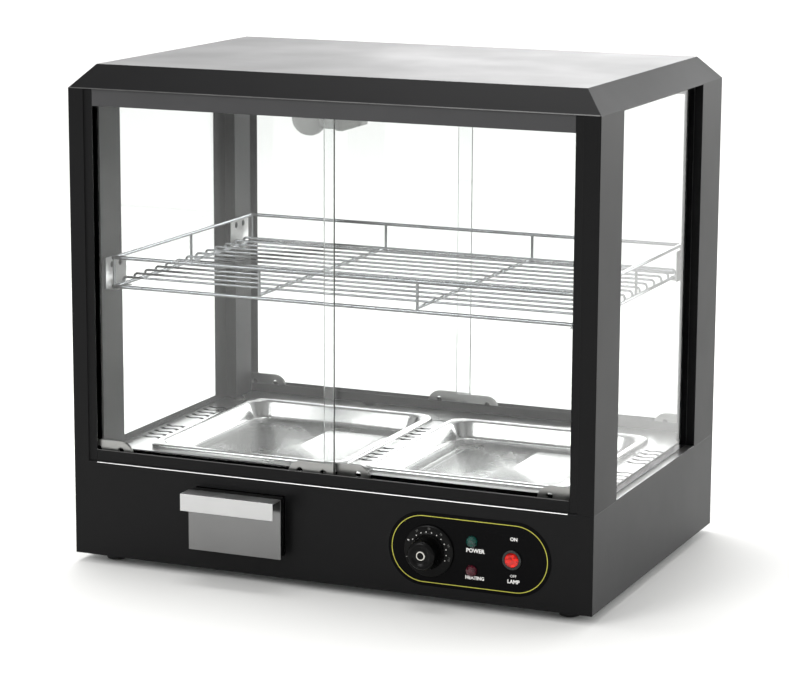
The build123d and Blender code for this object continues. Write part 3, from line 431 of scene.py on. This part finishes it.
for node, width in softEdges.items():
    coat = paintedLightCoats.get(node, finishes[slotOf[node]])
    piece = softEdged(node, width, pieceName(node) + "Folded", [coat])
    if node.startswith("side_frame"):   # its sill is bare metal
        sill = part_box(node)[0].z + sillRise / 1000
        piece.data.materials.append(sillMetal)
        paintFaces(piece, lambda face: face.normal.z > mostly and face.center.z < sill)
    if node == "drawer_face":   # the folded grip is painted brighter than the darker front: a painted highlight on the grip, painted shade on the front
        piece.data.materials.append(gripHighlight)
        paintFaces(piece, lambda face: face.center.y < fasciaY - gripStart / 1000)
print("sheet metal rounded,", len(softEdges))

# Glass

glassArris = 0.5   # ground corner of each pane, millimetres
glassNodes = [
    "door_glass_front_left", "door_glass_front_right", "door_glass_rear_left", "door_glass_rear_right",
    "side_glass_left", "side_glass_right",
]
for node in glassNodes:
    axis = Vector((1, 0, 0)) if node.startswith("side") else Vector((0, 1, 0))
    pane = softEdged(node, glassArris, pieceName(node) + "Pane", [finishes["clear_glass"], groundEdge])
    paintFaces(pane, lambda face: abs(face.normal.dot(axis)) <= mostly)   # its edges
print("glass panes made")

# Deck

deckSizes = {
    # half width of the middle rows, reach of the side rows and half depth of all rows
    "middle": 14.8, "side": (279.0, 311.0), "back": 115.0,
    # width and thickness of the dark line of painted shade round each slot
    "line": 0.9, "lineLift": 0.04,
}
mouthWithin = 1e-5   # edges this near the deck's top are the slots' mouths, metres
hairLift = 1e-6   # raises the line's inner edge by a hair, metres


def isSlotWall(face):
    # the upright faces of the slots, not those of the pans' holes or the outer folds
    middle = face.calc_center_median() * 1000
    near, far = deckSizes["side"]
    inRow = abs(middle.x) < deckSizes["middle"] or near < abs(middle.x) < far
    return inRow and abs(middle.y) < deckSizes["back"] and abs(face.normal.z) < slight


bm = weldedCopy("deck")
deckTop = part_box("deck")[1].z
lines = bmesh.new()
made = {}
for face in bm.faces:
    if not isSlotWall(face):
        continue
    # the slots' walls take the second material: painted shade with the cut's oxide
    face.material_index = 1
    for edge in face.edges:
        # round each slot's mouth a dark line of painted shade
        if min(vert.co.z for vert in edge.verts) > deckTop - mouthWithin:
            ring = []
            for vert in edge.verts:
                if vert.index not in made:
                    walls = [wall.normal for wall in vert.link_faces if isSlotWall(wall)]
                    step = sum(walls, Vector()).normalized() * deckSizes["line"] / 1000
                    inner = lines.verts.new(vert.co + Vector((0, 0, hairLift)))
                    made[vert.index] = (inner, lines.verts.new(vert.co - step))
                ring.append(made[vert.index])
            lines.faces.new((ring[0][0], ring[1][0], ring[1][1], ring[0][1]))
bmesh.ops.recalc_face_normals(lines, faces=lines.faces)
bmesh.ops.solidify(lines, geom=list(lines.faces), thickness=deckSizes["lineLift"] / 1000)
lineTop = deckTop + deckSizes["lineLift"] / 1000
lines.transform(Matrix.Translation((0, 0, lineTop - max(vert.co.z for vert in lines.verts))))
placePiece(lines, "deckSlotLines", bodyOf["deck"], [cutOxide], flat=True)
deckFinishes = [finishes["stainless_sheet"], cutOxide]
standIn(placePiece(bm, "deckPunched", bodyOf["deck"], deckFinishes, sharpFrom=30.0), "deck")
print("deck punched")

# Lamp holder

holderSizes = {
    "steps": 64, "length": 32.0, "endRadius": 5.8,
    # radius and distance from the mouth
    "profile": [
        (7.3, 20.5), (7.3, 0.6), (8.0, 0.0), (13.4, 0.0), (14.2, 0.5), (14.5, 1.4), (14.5, 7.4),
        (14.0, 9.0), (10.4, 20.0), (6.8, 31.0), (5.8, 32.0), (0.0, 32.0), (0.0, 20.5), (7.3, 20.5),
    ],
    "bracketWidth": 22.0, "wall": 3.0, "bracketEdge": 0.4,
}
holderLow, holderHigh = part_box("lamp_holder")
holderAxis = Vector((holderLow.x, (holderLow.y + holderHigh.y) / 2, centreOf("bulb").z))
bm = bmesh.new()
turnedSkin(bm, holderSizes["profile"], holderSizes["steps"])
bm.transform(Matrix.Translation(holderAxis) @ Matrix.Rotation(math.radians(90), 4, "Y") @ toMetres)
back = holderLow.x + holderSizes["length"] / 1000
wall = holderSizes["wall"] / 1000
under = holderAxis.z - holderSizes["endRadius"] / 1000
corners = [
    (back, under), (back, holderHigh.z), (holderHigh.x, holderHigh.z),
    (holderHigh.x, holderHigh.z - wall), (back + wall, holderHigh.z - wall), (back + wall, under),
]
side = holderSizes["bracketWidth"] / 2000
strip = bmesh.new()
face = strip.faces.new([strip.verts.new((x, holderAxis.y - side, z)) for x, z in corners])
pulled = bmesh.ops.extrude_face_region(strip, geom=[face])["geom"]
bmesh.ops.translate(
    strip, verts=[part for part in pulled if isinstance(part, bmesh.types.BMVert)], vec=(0, 2 * side, 0),
)
bmesh.ops.recalc_face_normals(strip, faces=strip.faces)
bmesh.ops.bevel(
    strip, geom=list(strip.edges), offset=holderSizes["bracketEdge"] / 1000, offset_type="OFFSET",
    segments=softSteps, profile=0.5, affect="EDGES", material=-1,
)
stripMesh = bpy.data.meshes.new("holderStrip")
strip.to_mesh(stripMesh)
strip.free()
bm.from_mesh(stripMesh)
holderFinish = finishes["lamp_holder_plastic"]
standIn(placePiece(bm, "lampHolderTurned", "root", [holderFinish], sharpFrom=40.0), "lamp_holder")
print("lamp holder turned")

# Pans

panSizes = {
    "width": 262.0, "depth": 290.0, "sheet": 0.8, "corner": 8,
    # inset from the rim, height over the rim's top, corner radius
    "profile": [
        (0.0, -6.0, 18.0), (0.0, -3.2, 18.0), (0.45, -1.6, 18.0), (1.6, -0.5, 18.2), (3.2, -0.05, 18.8),
        (4.6, 0.0, 19.6), (6.6, -0.1, 21.0), (8.4, -0.6, 23.4), (9.6, -1.6, 24.8), (10.3, -3.0, 25.0),
        (16.9, -17.0, 21.0), (17.9, -19.4, 20.5), (19.8, -21.3, 19.5), (22.6, -22.0, 18.5),
        (34.6, -22.0, 15.0), (35.2, -21.45, 14.8), (36.6, -21.45, 14.4), (37.2, -22.0, 14.2),
        (48.6, -22.0, 10.0), (49.1, -21.5, 9.8), (50.3, -21.5, 9.4), (50.8, -22.0, 9.2),
    ],
}


def pressedPan(node):
    low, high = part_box(node)
    bm = bmesh.new()
    loops = loopStack(
        bm, panSizes["width"], panSizes["depth"], panSizes["profile"], panSizes["corner"],
    )
    bmesh.ops.edgeloop_fill(bm, edges=loops[-1])
    bmesh.ops.recalc_face_normals(bm, faces=bm.faces)
    if sum(face.normal.z * face.calc_area() for face in bm.faces) < 0:
        bmesh.ops.reverse_faces(bm, faces=bm.faces)
    bmesh.ops.solidify(bm, geom=list(bm.faces), thickness=panSizes["sheet"])
    middle = (low + high) / 2
    bm.transform(Matrix.Translation((middle.x, middle.y, high.z)) @ toMetres)
    panFinish = finishes["stainless_pan"]
    standIn(placePiece(bm, pieceName(node) + "Pressed", bodyOf[node], [panFinish], sharpFrom=60.0), node)


for node in ("pan_left", "pan_right"):
    pressedPan(node)
print("pans pressed")

# Thermostat knob

knobSizes = {
    "steps": 96,
    # radius and reach in front of the fascia
    "profile": [
        (0.0, 26.2), (8.0, 26.2), (9.6, 26.5), (10.6, 27.3), (11.6, 27.9), (12.8, 28.1), (14.6, 27.6),
        (16.0, 26.5), (16.8, 25.0), (17.2, 23.0), (18.6, 12.0), (19.3, 9.2), (20.1, 8.2), (20.5, 7.2),
        (20.5, 4.9), (20.9, 4.5), (22.0, 4.4), (28.6, 3.9), (29.8, 3.5), (30.5, 2.6), (30.5, 1.4),
        (28.6, 1.4), (28.0, 2.2), (6.0, 2.2), (3.05, 2.2), (3.05, 22.3), (0.0, 22.3),
    ],
    # the cap in its front: radius and reach, and the radius inside which it is dark
    "capSteps": 64, "capReach": 26.2, "capDark": 3.75,
    "capProfile": [
        (0.0, 0.3), (3.6, 0.3), (3.9, 0.45), (4.1, 0.95), (5.1, 0.95), (5.5, 0.6), (5.5, -0.3),
        (0.0, -0.3),
    ],
    "printLift": 0.05,
    "dots": 11, "dotSides": 12, "dotRadius": 22.6, "dotSize": 1.3, "dotReach": 4.35,
    "dotStart": 147.0, "dotStep": -17.0,
    "dialNumbers": ["0", "30", "50", "70", "90", "110"], "numberRadius": 26.6, "numberSize": 3.4,
    "zeroBold": 0.08, "dialStart": 156.0, "dialStep": -34.0, "numberReach": 4.12,
    "pointerRadius": 25.5, "pointerTurn": 199.0,
    "pointerLength": 6.4, "pointerWidth": 0.9, "pointerThick": 0.4,
}
knobMiddle = centreOf("knob")


def onKnob(reach=0.0):
    # in front of the fascia, on the knob's axis
    return onFascia(knobMiddle.x, knobMiddle.z, reach)


bm = bmesh.new()
turnedSkin(bm, knobSizes["profile"], knobSizes["steps"])
bm.transform(onKnob())
knobFinish = finishes["knob_plastic"]
standIn(placePiece(bm, "knobTurned", "thermostat_knob", [knobFinish], sharpFrom=40.0), "knob")

bm = bmesh.new()
turnedSkin(bm, knobSizes["capProfile"], knobSizes["capSteps"])
bm.transform(onKnob(knobSizes["capReach"]))
capRing = placePiece(bm, "knobCap", "thermostat_knob", [nickel, knobFinish], sharpFrom=25.0)


def isInsideRing(face):
    fromAxis = math.hypot(face.center.x - knobMiddle.x, face.center.z - knobMiddle.z)
    return fromAxis < knobSizes["capDark"] / 1000


paintFaces(capRing, isInsideRing)   # a bright ring round a dark middle


def wordsMesh(words, size, spot, bold=0.0):
    # flat letters about the origin, in millimetres, moved by the matrix spot
    curve = bpy.data.curves.new("letters", "FONT")
    curve.body = words
    curve.size = size
    curve.align_x = "CENTER"
    curve.align_y = "CENTER"
    curve.extrude = knobSizes["printLift"]
    curve.offset = bold
    curve.resolution_u = 3
    letters = bpy.data.objects.new("letters", curve)
    bpy.context.scene.collection.objects.link(letters)
    bpy.context.view_layer.update()
    finished = letters.evaluated_get(bpy.context.evaluated_depsgraph_get())
    mesh = bpy.data.meshes.new_from_object(finished)
    bpy.data.objects.remove(letters)
    mesh.transform(spot)
    return mesh


def dialPiece(bm, name, reach, ink):
    bmesh.ops.remove_doubles(bm, verts=bm.verts, dist=printWeld)
    bm.transform(onKnob(reach))
    placePiece(bm, name, "thermostat_knob", [ink], flat=True)


lift = knobSizes["printLift"]
bm = bmesh.new()
for index in range(knobSizes["dots"]):
    angle = math.radians(knobSizes["dotStart"] + index * knobSizes["dotStep"])
    radius = knobSizes["dotSize"] / 2
    bmesh.ops.create_cone(
        bm, cap_ends=True, segments=knobSizes["dotSides"], radius1=radius, radius2=radius,
        depth=2 * lift,
        matrix=Matrix.Rotation(angle, 4, "Z") @ Matrix.Translation((knobSizes["dotRadius"], 0, 0)),
    )
dialPiece(bm, "knobDots", knobSizes["dotReach"] + lift, whiteInk)

# the zero is white and bold, the other numbers are grey: first and past-last number, ink, boldness
dialPrints = {
    "knobZero": (0, 1, whiteInk, knobSizes["zeroBold"]),
    "knobNumbers": (1, len(knobSizes["dialNumbers"]), greyInk, 0.0),
}
for name, (first, pastLast, ink, bold) in dialPrints.items():
    bm = bmesh.new()
    for index in range(first, pastLast):
        angle = math.radians(knobSizes["dialStart"] + index * knobSizes["dialStep"])
        outward = Matrix.Rotation(angle, 4, "Z") @ Matrix.Translation((knobSizes["numberRadius"], 0, 0))
        upright = outward @ Matrix.Rotation(math.radians(-90), 4, "Z")
        bm.from_mesh(wordsMesh(knobSizes["dialNumbers"][index], knobSizes["numberSize"], upright, bold))
    dialPiece(bm, name, knobSizes["numberReach"] + lift, ink)

bm = bmesh.new()   # the pointer, a raised line on the skirt
bmesh.ops.create_cube(bm, size=1.0, matrix=(
    Matrix.Rotation(math.radians(knobSizes["pointerTurn"]), 4, "Z")
    @ Matrix.Translation((knobSizes["pointerRadius"], 0, 0))
    @ Matrix.Diagonal(
        (knobSizes["pointerLength"], knobSizes["pointerWidth"], knobSizes["pointerThick"], 1),
    )
))
dialPiece(bm, "knobPointer", knobSizes["numberReach"] + 2 * lift, greyInk)
print("knob turned")

# Control plate prints

plateSizes = {
    "plateReach": 0.8, "printLift": 0.05,
    # the outline's ends fall short of full half circles by endGap; corner is the steps of each quarter
    "outlineInset": 4.1, "outlineWidth": 0.85, "endGap": 0.01, "corner": 24,
}
plateLow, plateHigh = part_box("control_plate")
plateWidth = (plateHigh.x - plateLow.x) * 1000
plateHeight = (plateHigh.z - plateLow.z) * 1000
inset, line = plateSizes["outlineInset"], plateSizes["outlineWidth"]
bm = bmesh.new()
endRadius = plateHeight / 2 - inset - plateSizes["endGap"]
inside = roundedFace(
    bm, plateWidth - 2 * inset, plateHeight - 2 * inset, endRadius, 0.0, plateSizes["corner"],
)
bmesh.ops.inset_region(bm, faces=[inside], thickness=line, use_even_offset=True, use_boundary=True)
bmesh.ops.delete(bm, geom=[inside], context="FACES")
bmesh.ops.solidify(bm, geom=list(bm.faces), thickness=plateSizes["printLift"])
bmesh.ops.recalc_face_normals(bm, faces=bm.faces)
plateMiddle = (plateLow + plateHigh) / 2
bm.transform(onFascia(plateMiddle.x, plateMiddle.z, plateSizes["plateReach"] + plateSizes["printLift"]))
placePiece(bm, "plateOutline", "root", [yellowInk], flat=True)

greenMiddle, redMiddle = centreOf("indicator_green"), centreOf("indicator_red")
switchMiddle = centreOf("rocker")
# text, letter size, boldness, middle that it hangs from, steps right and up, in millimetres
plateWords = [
    ("ON", 5.6, 0.16, switchMiddle, 1.8, 24.0),
    ("OFF", 4.5, 0.0, switchMiddle, 1.6, -19.0),
    ("LAMP", 6.0, 0.2, switchMiddle, 1.9, -25.5),
    ("POWER", 6.4, 0.22, greenMiddle, 4.2, -10.6),
    ("HEATING", 5.4, 0.2, redMiddle, 3.9, -8.2),
]
bm = bmesh.new()
for words, size, bold, middle, rightward, upward in plateWords:
    place = onFascia(
        middle.x + rightward / 1000, middle.z + upward / 1000,
        plateSizes["plateReach"] + plateSizes["printLift"],
    )
    bm.from_mesh(wordsMesh(words, size, place, bold))
bmesh.ops.remove_doubles(bm, verts=bm.verts, dist=printWeld / 1000)
placePiece(bm, "plateWords", "root", [whiteInk], flat=True)
print("plate printed")

# Indicator lamps

lensSizes = {
    "steps": 12,
    # radius and reach in front of the fascia
    "profile": [
        (0.0, 6.3), (3.3, 6.0), (5.4, 4.7), (6.6, 2.8), (7.0, 1.4), (7.0, 0.8), (5.0, 0.8),
        (5.0, -21.2), (0.0, -21.2),
    ],
}
for node, finish in (("indicator_green", "green_lens"), ("indicator_red", "dark_red_lens")):
    middle = centreOf(node)
    bm = bmesh.new()
    turnedSkin(bm, lensSizes["profile"], lensSizes["steps"])
    bm.transform(onFascia(middle.x, middle.z))
    standIn(placePiece(bm, pieceName(node) + "Lens", "root", [finishes[finish]], flat=True), node)
print("lamps made")

# Studio

studio = {"worldStrength": 0.66, "floorSize": 80.0, "floorDrop": 0.0002}   # the last two in metres
world = bpy.data.worlds.new("studioWorld")
world.use_nodes = True
backdrop = world.node_tree.nodes["Background"]
backdrop.inputs["Color"].default_value = linearColour("#ffffff")
backdrop.inputs["Strength"].default_value = studio["worldStrength"]
bpy.context.scene.world = world

bm = bmesh.new()
bmesh.ops.create_grid(bm, x_segments=1, y_segments=1, size=studio["floorSize"] / 2)
floorMesh = bpy.data.meshes.new("studioFloor")
bm.to_mesh(floorMesh)
bm.free()
# matt white paper
floorMesh.materials.append(makeFinish("mattPaper", ("#ededeb", "#f1f1ef"), 900, (0.8, 0.9), 3, 0.0))
floorPiece = bpy.data.objects.new("studioFloor", floorMesh)
floorPiece.location.z = -studio["floorDrop"]
bpy.context.scene.collection.objects.link(floorPiece)

# each lamp: place, point that it faces, width, height, radiance; metres
lamps = {
    "backPanel": ((-5.5, 10.0, 3.0), (-0.4, 0.0, 0.9), 12.0, 5.4, 1.3),
    "backStrip": ((-5.5, 9.7, 1.2), (-0.4, 0.0, 0.6), 12.0, 2.0, 2.3),
    "backGlow": ((-2.2, 9.4, 1.9), (0.1, 0.0, 0.5), 3.8, 3.4, 2.65),
    "sidePanel": ((5.6, 8.8, 2.4), (0.3, 0.0, 0.3), 8.4, 4.6, 5.0),
    "behindBox": ((-0.3, 2.7, 2.6), (0.9, 1.0, 0.0), 3.0, 2.0, 0.9),
    "topBox": ((-0.35, 0.4, 3.1), (-0.35, 0.4, 0.0), 1.7, 1.7, 8.4),
    "frontBox": ((-1.2, -2.8, 2.0), (0.0, -0.3, 0.0), 1.5, 1.5, 6.5),
}
for name, (spot, target, width, height, radiance) in lamps.items():
    lamp = bpy.data.lights.new(name, "AREA")
    lamp.shape = "RECTANGLE"
    lamp.size = width
    lamp.size_y = height
    lamp.energy = radiance * math.pi * width * height
    holder = bpy.data.objects.new(name, lamp)
    holder.location = spot
    holder.rotation_euler = (Vector(target) - Vector(spot)).to_track_quat("-Z", "Y").to_euler()
    bpy.context.scene.collection.objects.link(holder)

# Camera

cameraSizes = {
    "place": (1.33079, -3.09286, 0.93261), "farEnd": 200.0,   # metres
    "yaw": 23.308, "pitch": 11.444, "roll": 0.266,   # degrees
    "lens": 128.95, "sensor": 36.0,   # millimetres
}
yaw, pitch, roll = (math.radians(cameraSizes[key]) for key in ("yaw", "pitch", "roll"))
ahead = Vector((-math.sin(yaw) * math.cos(pitch), math.cos(yaw) * math.cos(pitch), -math.sin(pitch)))
right = ahead.cross(Vector((0, 0, 1))).normalized()
upward = right.cross(ahead)
rolledRight = right * math.cos(roll) + upward * math.sin(roll)
rolledUp = upward * math.cos(roll) - right * math.sin(roll)
cameraData = bpy.data.cameras.new("photoCamera")
cameraData.lens = cameraSizes["lens"]
cameraData.sensor_width = cameraSizes["sensor"]
cameraData.clip_end = cameraSizes["farEnd"]
camera = bpy.data.objects.new("photoCamera", cameraData)
turned = Matrix((rolledRight, rolledUp, -ahead)).transposed().to_4x4()
camera.matrix_world = Matrix.Translation(cameraSizes["place"]) @ turned
bpy.context.scene.collection.objects.link(camera)
bpy.context.scene.camera = camera
bpy.context.scene.view_settings.view_transform = "Standard"
print("studio set")
